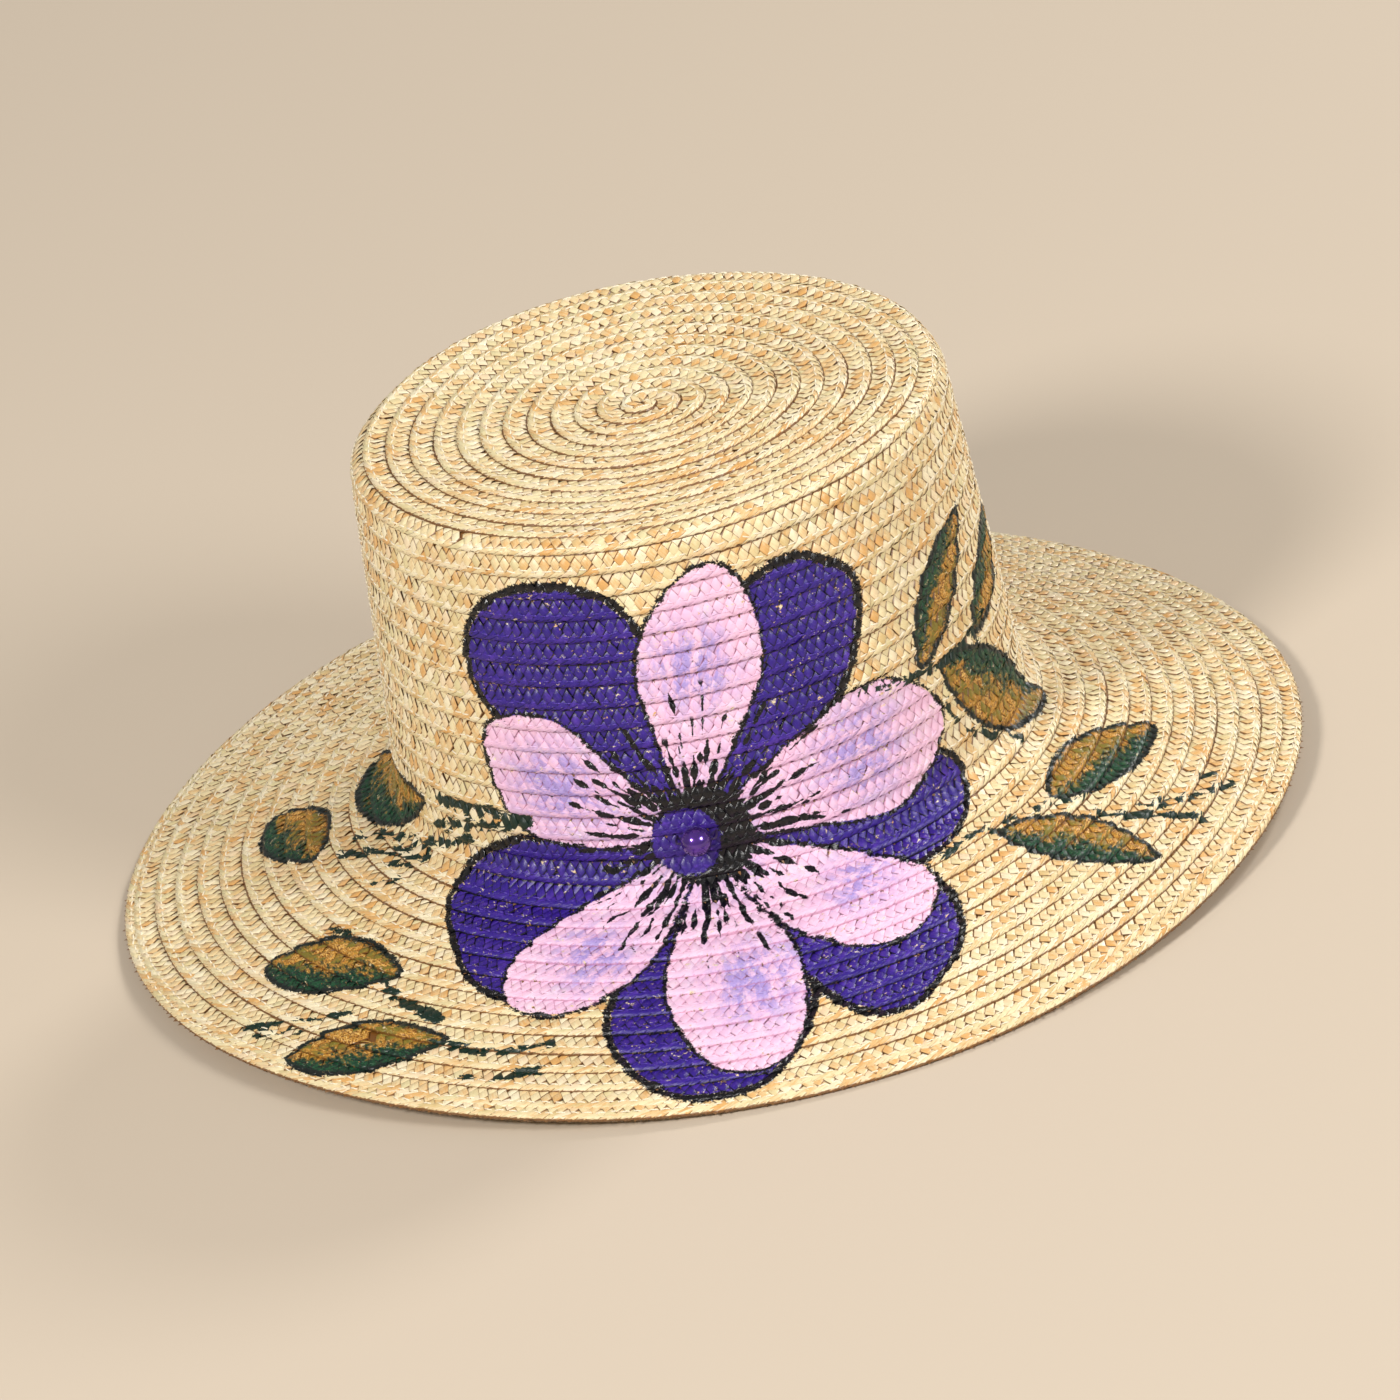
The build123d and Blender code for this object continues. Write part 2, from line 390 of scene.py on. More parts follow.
# Where the points of a patch lie, as parts of a straw's length and of its width
FLAT = dict(along=[-0.08, 0.06, 0.5, 0.94, 1.08], over=[-0.01, 0.08, 0.92, 1.01])
FOLDED = dict(along=[-0.08, 0.08, 0.4, 0.62, 0.82, 1.0], over=[-0.01, 0.08, 0.92, 1.01])
COARSE = dict(along=[-0.08, 0.5, 1.08], over=[-0.06, 0.5, 1.06])
COARSE_FOLDED = dict(along=[-0.08, 0.15, 0.42, 0.8], over=[-0.06, 0.5, 1.06])
STITCH = dict(along=[0.0, 0.12, 0.5, 0.88, 1.0], over=[-1.0, 0.0, 1.0])


def patch_places(grid):
    """The places of a patch's points along and over the straw, each as one row."""
    return (part.ravel()[None] for part in np.meshgrid(grid["along"], grid["over"], indexing="ij"))


def outer_face(turn, b, lift):
    """A place on the outer face of the sewn braid, b from the last round's edge."""
    return inner_edge(turn) + braid_lap + b, lift - step * (1 - b / pitch)


def inner_face(turn, b, lift):
    """A place on the inner face of the sewn braid."""
    return inner_edge(turn) + pitch - b, -lap_drop - step * b / pitch - 0.7 * lift


def edge_face(turn, b, lift):
    """A place on the finishing round, sewn below the edge of the brim, its inner edge tucked in."""
    tucked, b = np.minimum(b, 0), np.maximum(b, 0)
    return meridian_length - pitch + b + 0.2 * tucked, -step * (3 - b / pitch) - 0.6 * lift - 0.5 * tucked


def folded(b, edge):
    """Rounds the straws over the braid's folded edge: the place across it and the drop."""
    past = np.clip((b - edge + fold_radius) / fold_radius, 0, 0.85 * math.pi)
    rounded = edge - fold_radius + fold_radius * np.sin(np.minimum(past, math.pi / 2))
    return np.where(past > 0, rounded, b), fold_radius * (1 - np.cos(past))


def top_straw(p, q, wobble):
    """A straw that comes from under the last round and goes under the next big straw."""
    length = 3.6
    a = half_straw - (1 - p) * straw_slant * length + half_straw * q
    b = first_tooth + tooth - (1 - p) * length - tooth * q
    lift = 0.2 - 0.22 * np.clip((p - 0.8) / 0.2, 0, 1.2)
    return a, b + wobble, lift, np.clip(5 * p - 4.1, 0, 1) * 0.95, length


def big_straw(p, q, wobble):
    """A big straw, over the ends of its neighbours, that slants the other way."""
    a = half_straw * q - straw_slant * big_length * p
    b = first_tooth + big_length * p + tooth * q
    ends = np.abs(2 * p - 1)
    lift = 0.33 - 0.28 * np.clip((ends - 0.86) / 0.14, 0, 1.3)
    return a, b + wobble, lift, ends, big_length


def edge_straw(p, q, wobble):
    """A straw that comes from under a big one and bends along the braid's folded edge."""
    length = 4.5
    a = 2 * half_straw - straw_slant * big_length + length * (straw_slant * p + 0.8 * p**2)
    b = first_tooth + big_length + length * p + (tooth + 0.25 * p) * (1 - q)
    lift = 0.2 - 0.5 * np.clip((0.1 - p) / 0.2, 0, 1.2)
    return a - half_straw * (1 - q), b + wobble, lift, np.clip(1 - 6 * p, 0, 1), length


STRAWS = [
    dict(kind=top_straw, grid=FLAT, coarse=COARSE, wide=(0.85, 1.05), gold=0.25),
    dict(kind=big_straw, grid=FLAT, coarse=COARSE, wide=(1.0, 1.12), gold=0.42),
    dict(kind=edge_straw, grid=FOLDED, coarse=COARSE_FOLDED, wide=(0.92, 1.05), gold=0.36),
]


def straws(patchwork, first, last, face, coarse, outside):
    """Adds the straws of the braid from one turn to another on one face, three to each column."""
    begin, end = length_at(first), length_at(last)
    columns = int((end - begin) / straw_pitch)
    origin = begin + (np.arange(columns) + rng.uniform(-0.07, 0.07, columns)) * straw_pitch
    origin = origin[:, None]
    edge = pitch - 0.05
    for sort in STRAWS:
        grid = sort["coarse" if coarse else "grid"]
        p, q = patch_places(grid)
        skew = rng.normal(0, 0.10, (columns, 1))
        width = rng.uniform(*sort["wide"], (columns, 1))
        q_wide = 0.5 + (q - 0.5) * width + skew * (p - 0.5)
        a, b, lift, ends, length = sort["kind"](p, q_wide, rng.normal(0, 0.16, (columns, 1)))
        sides = 0.2 * np.clip((np.abs(2 * q - 1) - 0.82) / 0.18, 0, 1.1)
        tilt_along, tilt_across = rng.normal(0, 0.13, (columns, 1)), rng.normal(0, 0.15, (columns, 1))
        tilt = tilt_along * (p - 0.5) + tilt_across * (q - 0.5)
        lift = lift - sides + rng.normal(0, 0.05, (columns, 1)) + tilt
        strip = b
        b, drop = folded(b, edge)
        if sort["kind"] is edge_straw:
            lift = lift + 0.14 * np.exp(-(((b - edge + 0.9) / 0.8) ** 2)) - drop
        else:
            lift = lift - 2 * drop
        a, b, lift = np.broadcast_arrays(origin + a, b, lift)
        turn = turn_at(a)
        s, n = face(turn, b, lift)
        s = np.clip(s, 0.25, None)
        angle = angle_at(turn)
        none = np.zeros(a.shape)
        tone = rng.uniform(0, 1, (columns, 1)) + none
        # Crease: how near a point is to a straw's sides or to an end that dips under a neighbour; the
        # materials darken it there as painted shade.
        crease = np.maximum(np.abs(2 * q - 1), ends) + none
        patchwork.add(
            surface(angle, s, n),
            grid_faces(len(grid["along"]), len(grid["over"])),
            flip=(sort["kind"] is big_straw) == outside,
            straw=np.stack([p * length * 1.3 + none, q * 2.6 + none, tone * 60], axis=-1),
            tone=tone,
            gold=np.clip(sort["gold"] + rng.normal(0, 0.26, (columns, 1)), 0, 1) + none,
            crease=crease,
            strip=strip + (0.5 if face is edge_face else 0) + none,
            **painted(angle, s, outside and not coarse),
        )


def core(patchwork, first, last, face_heights, across):
    """Adds the braid's middle layer, a closed strip that fills the gaps between its straws, coloured dark
    brown as painted shade.
    """
    samples = int((last - first) * 90) + 1
    turn = np.linspace(first, last, samples)
    upper = [(part, face_heights[1]) for part in across]
    lower = [(part, face_heights[0]) for part in reversed(across)]
    ring = upper + lower + upper[:1]
    s = np.stack([inner_edge(turn) + part for part, _ in ring], axis=-1)
    rise = [height + step * ((part - strip_width) / pitch) for part, height in ring]
    n = np.stack([height + 0 * turn for height in rise], axis=-1)
    angle = np.repeat(angle_at(turn)[:, None], len(ring), axis=1)
    s = np.clip(s, 0.2, None)
    blank = np.zeros((1, samples * len(ring)))
    outside = np.array([height == face_heights[1] for _, height in ring])
    fields = painted(angle, s, outside)
    patchwork.add(
        surface(angle, s, n).reshape(1, -1, 3),
        grid_faces(samples, len(ring)),
        straw=np.stack([turn.repeat(len(ring))[None] * 60, blank, blank], axis=-1),
        tone=blank + 0.3,
        gold=blank + 0.9,
        # A high crease makes the straw material colour the core dark brown: painted shade in the gaps.
        crease=blank + np.tile(np.where(outside, 1.05, 0.94), samples),
        strip=blank + 3,
        **{key: value.reshape(1, samples * len(ring), -1) for key, value in fields.items()},
    )


def stitches(patchwork, first, last, face, outside, across=4.75, length=3.7):
    """Adds the seam's stitches, which dip into the braid at both ends."""
    begin, end = length_at(first), length_at(last)
    columns = int((end - begin) / length)
    origin = begin + (np.arange(columns) + rng.uniform(-0.12, 0.12, columns)) * length
    p, q = patch_places(STITCH)
    size = rng.uniform(0.72, 0.9, (columns, 1))
    a = origin[:, None] + (p - 0.5) * length * size
    lean = rng.normal(0, 0.22, (columns, 1))
    b = across + rng.normal(0, 0.12, (columns, 1)) + lean * (p - 0.5) * 2 + q * 0.22
    lift = 0.62 - 0.30 * q**2 - 0.85 * (np.abs(2 * p - 1) ** 6) + 0 * b
    a, b, lift = np.broadcast_arrays(a, b, lift)
    turn = turn_at(a)
    s, n = face(turn, b, lift)
    angle = angle_at(turn)
    patchwork.add(
        surface(angle, np.clip(s, 0.25, None), n),
        grid_faces(5, 3),
        flip=not outside,
        straw=np.stack([a + 0 * b, q * 1.0 + 0 * b, 0 * b], axis=-1),
        # Crease: the stitch's ends, where it dips into the braid, which the thread's material darkens as
        # painted shade.
        crease=np.abs(2 * p - 1) ** 4 + 0 * b,
        tone=0.5 + 0 * b,
        **painted(angle, s, outside),
    )


# ----------------------------------------------------------------------
# Materials
# ----------------------------------------------------------------------
class Nodes:
    """A short way to write a material's nodes."""

    def __init__(self, name):
        self.material = bpy.data.materials.new(name)
        self.material.use_nodes = True
        self.tree = self.material.node_tree
        self.tree.nodes.clear()
        self.output = self.tree.nodes.new("ShaderNodeOutputMaterial")

    def put(self, socket, value):
        """Links a socket, or sets its value."""
        if isinstance(value, bpy.types.NodeSocket):
            self.tree.links.new(value, socket)
        elif value is not None:
            socket.default_value = value

    def node(self, kind, out=0, settings=(), **inputs):
        """Adds a node and gives its output. Inputs are named with _ for a space, or in0, in1..."""
        made = self.tree.nodes.new("ShaderNode" + kind)
        for key, value in dict(settings).items():
            setattr(made, key, value)
        for key, value in inputs.items():
            index = int(key[2:]) if key.startswith("in") and key[2:].isdigit() else key.replace("_", " ")
            self.put(made.inputs[index], value)
        return made.outputs[out]

    def math(self, operation, a, b=None, c=None, clamp=False):
        """A Math node."""
        return self.node("Math", settings={"operation": operation, "use_clamp": clamp}, in0=a, in1=b, in2=c)

    def attribute(self, name, out="Fac"):
        """A point attribute of the mesh."""
        return self.node("Attribute", out=out, settings={"attribute_name": name})

    def split(self, vector):
        """The three parts of a vector."""
        made = self.tree.nodes.new("ShaderNodeSeparateXYZ")
        self.put(made.inputs[0], vector)
        return made.outputs[0], made.outputs[1], made.outputs[2]

    def between(self, value, low, high):
        """A smooth rise from 0 to 1 as the value goes from low to high."""
        settings = {"interpolation_type": "SMOOTHSTEP"}
        return self.node("MapRange", settings=settings, Value=value, From_Min=low, From_Max=high)

    def mix(self, factor, a, b, blend="MIX"):
        """A colour mix."""
        made = self.tree.nodes.new("ShaderNodeMix")
        made.data_type = "RGBA"
        made.blend_type = blend
        colours = [socket for socket in made.inputs if socket.type == "RGBA"]
        self.put(made.inputs[0], factor)
        self.put(colours[0], a)
        self.put(colours[1], b)
        return next(socket for socket in made.outputs if socket.type == "RGBA")

    def hypot(self, a, b):
        """The length of the diagonal of a by b."""
        return self.math("SQRT", self.sum(self.math("MULTIPLY", a, a), (self.math("MULTIPLY", b, b), 1.0)))

    def noise(self, vector, scale, detail=3.0, roughness=0.55):
        """A noise texture, less a half, so that it is as often above as below nothing."""
        value = self.node("TexNoise", Vector=vector, Scale=scale, Detail=detail, Roughness=roughness)
        return self.math("SUBTRACT", value, 0.5)

    def scaled(self, vector, *scale):
        """A vector times a scale along each axis."""
        return self.node("Mapping", Vector=vector, Scale=scale)

    def sum(self, first, *others):
        """Adds numbers, each alone or as (number, factor)."""
        total = first
        for other in others:
            value, factor = other if isinstance(other, tuple) else (other, 1.0)
            total = self.math("MULTIPLY_ADD", value, factor, total)
        return total

    def finish(self, shader):
        """Links the shader to the output."""
        self.tree.links.new(shader, self.output.inputs["Surface"])
        return self.material


def rgb(red, green, blue):
    """A display colour as the linear colour that a node takes."""
    linear = [(c / 255 / 12.92) if c < 11 else ((c / 255 + 0.055) / 1.055) ** 2.4 for c in (red, green, blue)]
    return (*linear, 1.0)


VIOLET, VIOLET_LIGHT, VIOLET_SHADE = rgb(43, 19, 128), rgb(86, 52, 172), rgb(12, 4, 40)
PINK, PINK_PALE, PINK_SHADE = rgb(238, 193, 220), rgb(248, 220, 234), rgb(180, 114, 144)
LILAC, LILAC_DARK = rgb(160, 142, 210), rgb(104, 86, 168)
BLACK, BLACK_SHEEN = rgb(7, 6, 9), rgb(30, 28, 40)
OCHRE, OLIVE, UMBER = rgb(190, 134, 50), rgb(122, 110, 38), rgb(112, 70, 24)
GREEN, DARK_GREEN, GREEN_BLACK = rgb(22, 76, 46), rgb(9, 38, 28), rgb(15, 24, 21)


def stamens(n, bearing, reach, tiny):
    """Thin dashes that run out from the flower's centre, some with a blob at the end."""

    def spoke_noise(spoke, rate, y, z=0.0, detail=1.0):
        return n.noise(n.node("CombineXYZ", X=n.math("MULTIPLY", spoke, rate), Y=y, Z=z), 1.0, detail)

    total = 0.0
    for count, longest in ((46.0, 36.0), (30.0, 46.0)):
        place = n.math("MULTIPLY", bearing, count / TURN)
        spoke = n.math("FLOOR", place)
        chance = spoke_noise(spoke, 3.71, longest)
        sway = spoke_noise(spoke, 1.37, n.math("MULTIPLY", reach, 0.05))
        dash = spoke_noise(spoke, 5.3, n.math("MULTIPLY", reach, 0.13), longest, 2.0)
        across = n.sum(n.math("SUBTRACT", n.math("FRACT", place), 0.5), (sway, 0.8))
        across = n.math("MULTIPLY", n.math("ABSOLUTE", across), n.math("MULTIPLY", reach, TURN / count))
        thicker, thinner = n.between(dash, -0.06, 0.14), n.between(reach, 18.0, longest)
        width = n.sum(0.2, (thicker, 1.0), (chance, 0.9), (tiny, 0.8), (thinner, -0.45))
        within = n.between(n.sum(reach, (chance, 45.0)), longest, longest - 1.5)
        shown = n.math("MULTIPLY", n.between(dash, -0.06, -0.02), within)
        inked = n.between(n.math("SUBTRACT", across, width), 0.12, -0.08)
        total = n.sum(n.math("MULTIPLY", shown, inked), (total, 1.0))
    return n.math("MINIMUM", total, 1.0)


def paint(n, colour, roughness, crease, tone, grain):
    """Lays the painting over a base colour and roughness."""
    motif, petals, leaves = (n.attribute(name, "Vector") for name in ("motif", "petals", "leaves"))
    front, back, lavender = n.split(petals)
    leaf, side, stem = n.split(leaves)
    x, y, _ = n.split(motif)
    wide, fine, tiny = n.noise(motif, 0.15, 3.0), n.noise(motif, 0.55, 3.0, 0.6), n.noise(motif, 1.6, 2.0)
    per_straw = n.math("SUBTRACT", tone, 0.5)
    ragged = n.sum(n.math("MULTIPLY", fine, 2.4), (tiny, 1.8), (per_straw, 0.7))

    # Strokes that run out from the flower's centre
    bearing = n.math("ARCTAN2", y, x)
    reach = n.hypot(x, y)
    polar = n.node("CombineXYZ", X=n.math("MULTIPLY", bearing, 13.0), Y=n.math("MULTIPLY", reach, 0.045))
    brushed = n.noise(polar, 1.0, 5.0, 0.7)
    dry = n.between(n.sum(n.noise(motif, 0.5, 4.0, 0.75), (crease, 0.20), (wide, 0.35)), 0.30, 0.35)
    wet = n.math("SUBTRACT", 1.0, dry)

    def cover(below, mask, tint, gloss):
        return n.mix(mask, below[0], tint), n.node("Mix", in0=mask, in2=below[1], in3=gloss)

    def line(distance, offset, width):
        outline = n.math("ABSOLUTE", n.sum(distance, offset, (wide, 1.6), (per_straw, 0.5)))
        edge = n.sum(outline, (fine, 2.4), (tiny, 2.2), (wide, -1.6))
        return n.between(edge, width + 0.2, width - 0.2)

    black = n.mix(n.between(n.sum(tiny, (fine, 0.6)), 0.02, 0.3), BLACK, BLACK_SHEEN)
    layers = colour, roughness

    violet = n.mix(n.between(n.sum(brushed, (fine, 0.6), (per_straw, 0.3)), -0.05, 0.5), VIOLET, VIOLET_LIGHT)
    violet = n.mix(n.math("MULTIPLY", n.between(grain, 0.08, 0.2), 0.6), violet, VIOLET_LIGHT)
    # Painted shade: darker violet in the creases between straws.
    violet = n.mix(n.between(crease, 0.82, 0.98), violet, VIOLET_SHADE)
    fill = n.between(n.sum(back, (ragged, 0.6)), 0.25, -0.25)
    layers = cover(layers, n.math("MULTIPLY", fill, wet), violet, 0.34)
    layers = cover(layers, line(back, -0.9, 1.35), black, 0.2)

    near = n.between(reach, 38.0, 14.0)
    streaked = n.between(n.sum(brushed, (fine, 0.35), (per_straw, 0.12)), -0.18, 0.16)
    shade = n.math("MULTIPLY", n.sum(n.math("MULTIPLY", lavender, 1.5), (near, 0.6)), streaked, clamp=True)
    pink = n.mix(n.between(n.sum(brushed, (wide, 0.8)), -0.1, 0.35), PINK, PINK_PALE)
    pink = n.mix(n.math("MULTIPLY", shade, 0.9), pink, n.mix(n.between(tiny, 0.0, 0.3), LILAC, LILAC_DARK))
    # Painted shade: darker pink in the creases between straws.
    pink = n.mix(n.math("MULTIPLY", n.between(crease, 0.88, 1.04), 0.65), pink, PINK_SHADE)
    fill = n.between(n.sum(front, (ragged, 0.45)), 0.2, -0.2)
    layers = cover(layers, n.math("MULTIPLY", fill, wet), pink, 0.4)
    layers = cover(layers, line(front, -0.3, 0.6), black, 0.2)
    layers = cover(layers, stamens(n, bearing, reach, tiny), black, 0.2)

    # The flower's dark centre, with a violet patch round the bead
    def from_middle(across, up):
        return n.hypot(n.math("SUBTRACT", x, across), n.math("SUBTRACT", y, up))

    layers = cover(layers, n.between(n.sum(from_middle(2.0, -0.5), (ragged, 0.9)), 15.0, 14.5), black, 0.24)
    patch = n.mix(n.between(n.sum(fine, (tiny, 0.5)), 0.0, 0.25), rgb(50, 28, 124), VIOLET_LIGHT)
    layers = cover(layers, n.between(n.sum(from_middle(-3.2, -2.0), (ragged, 1.3)), 10.4, 9.8), patch, 0.3)

    # Leaves, ochre on one side of the midrib and green on the other, and stems
    green = n.between(n.sum(side, (wide, 1.4), (fine, 1.6)), -0.1, 0.3)
    leafy = n.mix(n.between(n.sum(fine, (wide, 1.0), (per_straw, 0.8)), -0.25, 0.3), OCHRE, OLIVE)
    leafy = n.mix(n.between(n.sum(tiny, (fine, 0.5), (per_straw, 0.15)), -0.05, -0.2), leafy, UMBER)
    leafy = n.mix(n.between(n.sum(tiny, (per_straw, -0.2)), 0.1, 0.2), leafy, rgb(226, 186, 108))
    leafy = n.mix(green, leafy, n.mix(n.between(n.sum(tiny, fine), -0.12, 0.12), GREEN, DARK_GREEN))
    rim = n.between(n.sum(leaf, (fine, 5.0), (tiny, 5.0), (per_straw, 1.2)), -2.6, -1.0)
    leafy = n.mix(rim, leafy, n.mix(n.between(tiny, 0.0, 0.1), DARK_GREEN, GREEN_BLACK))
    # Painted shade: umber or green-black in the creases between straws.
    leafy = n.mix(n.between(crease, 0.86, 1.05), leafy, n.mix(green, UMBER, GREEN_BLACK))
    fill = n.between(n.sum(leaf, (ragged, 1.0)), 0.3, -0.3)
    layers = cover(layers, n.math("MULTIPLY", fill, n.sum(1.0, (dry, -0.8))), leafy, 0.38)
    layers = cover(layers, line(leaf, 0.4, 0.8), GREEN_BLACK, 0.3)
    dashed = n.sum(stem, (per_straw, 2.2), (fine, 2.0), (tiny, 1.2), (crease, 0.5))
    layers = cover(layers, n.between(dashed, 0.85, 0.6), DARK_GREEN, 0.34)
    return layers


def straw_material():
    """Split wheat straw: glossy strands from cream to gold, streaked along, with painted shade where they
    dip, in the gaps and at each folded edge.
    """
    n = Nodes("straw")
    local = n.attribute("straw", "Vector")
    tone, gold, strip = n.attribute("tone"), n.attribute("gold"), n.attribute("strip")
    place = n.attribute("motif", "Vector")
    strip = n.sum(strip, (n.noise(place, 0.6, 2.0), 0.9), (n.math("SUBTRACT", tone, 0.5), 0.2))
    # Painted shadow: a thin dark line just below the last round's folded edge, and painted shade just past
    # each round's own fold.
    under, over = n.between(strip, 0.45, 0.15), n.between(strip, pitch + 0.35, pitch + 0.6)
    crease = n.math("MAXIMUM", n.attribute("crease"), n.math("MAXIMUM", under, over))
    streak = n.noise(n.scaled(local, 0.3, 2.6, 1.0), 1.0, 4.0, 0.6)
    blotch = n.noise(local, 0.4, 2.0)
    fine = n.noise(n.scaled(local, 0.7, 8.0, 1.0), 1.0, 2.0)
    richness = n.sum(gold, (streak, 1.1), (blotch, 0.8), (n.noise(place, 0.035, 2.0), 0.9))
    colour = n.mix(n.between(richness, 0.0, 1.05), rgb(232, 217, 174), rgb(214, 164, 98))
    colour = n.mix(n.math("MULTIPLY", n.between(tone, 0.72, 0.9), 0.55), colour, rgb(242, 234, 208))
    colour = n.mix(n.math("MULTIPLY", n.between(tone, 0.2, 0.05), 0.5), colour, rgb(206, 196, 146))
    # Painted shade: dark brown in the creases, at the straws' dipping ends, in the gaps where the core shows
    # and in the lines at the folds.
    colour = n.mix(n.math("MULTIPLY", n.between(crease, 0.88, 1.0), 0.9), colour, rgb(112, 66, 24))
    colour = n.mix(n.math("MULTIPLY", n.between(fine, 0.1, 0.22), 0.4), colour, rgb(172, 118, 58))
    roughness = n.sum(0.3, (blotch, 0.25))
    colour, roughness = paint(n, colour, roughness, crease, tone, fine)
    height = n.sum(streak, (fine, 0.5))
    bump = n.node("Bump", Height=height, Strength=0.5, Distance=0.0002)
    shader = n.node(
        "BsdfPrincipled", Base_Color=colour, Roughness=roughness, Normal=bump, Specular_IOR_Level=0.5
    )
    return n.finish(shader)


def thread_material():
    """Cream sewing thread with a twist, with painted light and shade on the twist and painted shade at its
    ends, painted over where it crosses the flower.
    """
    n = Nodes("sewing_thread")
    local, crease = n.attribute("straw", "Vector"), n.attribute("crease")
    along, across, _ = n.split(local)
    twist = n.math("SINE", n.sum(n.math("MULTIPLY", along, 14.0), (across, 2.2)))
    # Painted highlight and shade: lighter on the twist's ridges, darker in its grooves.
    colour = n.mix(n.between(twist, -1.0, 1.0), rgb(226, 208, 170), rgb(250, 243, 226))
    # Painted shade: brown at the stitch's ends, where it dips into the braid.
    colour = n.mix(n.between(crease, 0.3, 1.0), colour, rgb(168, 118, 60))
    colour, roughness = paint(n, colour, n.sum(0.5, (twist, 0.06)), crease, n.attribute("tone"), crease)
    bump = n.node("Bump", Height=twist, Strength=0.3, Distance=0.0001)
    return n.finish(n.node("BsdfPrincipled", Base_Color=colour, Roughness=roughness, Normal=bump))


straw, thread = straw_material(), thread_material()


def declare(piece, node):
    """Hangs a piece on the root body and hides the CAD node that it stands in for."""
    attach(piece, "root")
    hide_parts(node)


# ----------------------------------------------------------------------
# The pieces
# ----------------------------------------------------------------------
side_middle = tip_rounds + side_rounds / 2
brim_first = tip_rounds + side_rounds
brim_second, brim_third = brim_first + 5, brim_first + 9
SECTIONS = [
    ("straw_tip", spiral_start, tip_rounds, "crown_tip_braid"),
    ("straw_side_upper", tip_rounds, side_middle, "crown_side_braid"),
    ("straw_side_lower", side_middle, brim_first, "crown_side_braid"),
    ("straw_brim_inner", brim_first, brim_second, "brim_braid"),
    ("straw_brim_middle", brim_second, brim_third, "brim_braid"),
    ("straw_brim_outer", brim_third, rounds + 0.5, "brim_braid"),
]
CORE_ACROSS = [0.3, 2.0, 3.8, 5.6, 7.4, 8.9]
for name, first, last, node in SECTIONS:
    patchwork = Patchwork()
    core(patchwork, first, last, (-0.9, -0.35), CORE_ACROSS)
    straws(patchwork, first, last, outer_face, coarse=False, outside=True)
    straws(patchwork, first, last, inner_face, coarse=True, outside=False)
    declare(patchwork.build(name, straw), node)

patchwork = Patchwork()
straws(patchwork, rounds - 1, rounds, edge_face, coarse=False, outside=False)
declare(patchwork.build("straw_edge_binding", straw), "brim_edge_braid")

SEAMS = [
    ("stitches_tip", spiral_start + 0.4, tip_rounds, "tip_seam_thread"),
    ("stitches_side", tip_rounds, brim_first, "side_seam_thread"),
    ("stitches_brim", brim_first, rounds - 1, "brim_seam_thread"),
    ("stitches_edge", rounds - 1, rounds + 0.4, "edge_seam_thread"),
]
for name, first, last, node in SEAMS:
    patchwork = Patchwork()
    stitches(patchwork, first, last, outer_face, outside=True)
    declare(patchwork.build(name, thread), node)

BAND_RADIUS, BAND_BOTTOM, BAND_TOP = 88.8, *(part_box("sweatband")[end][2] / MM for end in (0, 1))


def tube_faces(rows, ring, joined):
    """Quads of a tube: rows of ring points, the last row joined to the first or both ends closed."""
    row = np.arange(rows if joined else rows - 1)[:, None]
    point = np.arange(ring)[None, :]
    after, beside = (row + 1) % rows, (point + 1) % ring
    this, following = row * ring, after * ring
    quads = np.stack([this + point, this + beside, following + beside, following + point], axis=-1)
    quads = quads.reshape(-1, 4)
    if joined:
        return quads
    side = np.arange(ring // 2 - 1)
    cap = np.stack([side, ring - 1 - side, ring - 2 - side, side + 1], axis=-1)
    return np.concatenate([quads, cap, cap[:, ::-1] + (rows - 1) * ring])


def make_sweatband():
    """A ribbed ribbon round the inside, its lower edge turned out in a hem and its ends lapped."""
    low, high, lap = BAND_BOTTOM, BAND_TOP, 12 / BAND_RADIUS
    inner = [(2.2, low + 0.3), (1.2, low + 0.3), (0.35, low + 0.4), (0.0, low + 1.0)]
    inner += [(0.0, low + 8), (0.1, low + 16), (0.0, high - 0.5), (0.15, high)]
    outer = [(0.45, high), (0.6, high - 0.5), (0.7, low + 16), (0.6, low + 8)]
    outer += [(0.6, low + 2.2), (0.75, low + 1.5), (1.4, low + 1.1), (2.2, low + 1.0)]
    out, height = np.array(inner + outer).T
    angle = np.linspace(0, TURN + lap, 371)[:, None]
    ripple = 0.18 * np.sin(7 * angle + 1) + 0.12 * np.sin(11 * angle)
    inside = 0.65 * np.clip((angle - TURN + lap) / lap, 0, 1)
    radius = BAND_RADIUS + out + ripple * (height - low) / (high - low) - inside
    facing = angle + 1.7
    points = np.stack([radius * np.cos(facing), radius * np.sin(facing), height + 0 * radius], axis=-1)
    cloth = np.stack([angle * BAND_RADIUS + 0 * height, height + 0 * angle, 0 * radius], axis=-1)
    patchwork = Patchwork()
    faces = tube_faces(*radius.shape, joined=False)
    patchwork.add(points.reshape(1, -1, 3), faces, flip=True, cloth=cloth[None])
    band = patchwork.build("ribbon_sweatband", ribbon_material())
    declare(band, "sweatband")


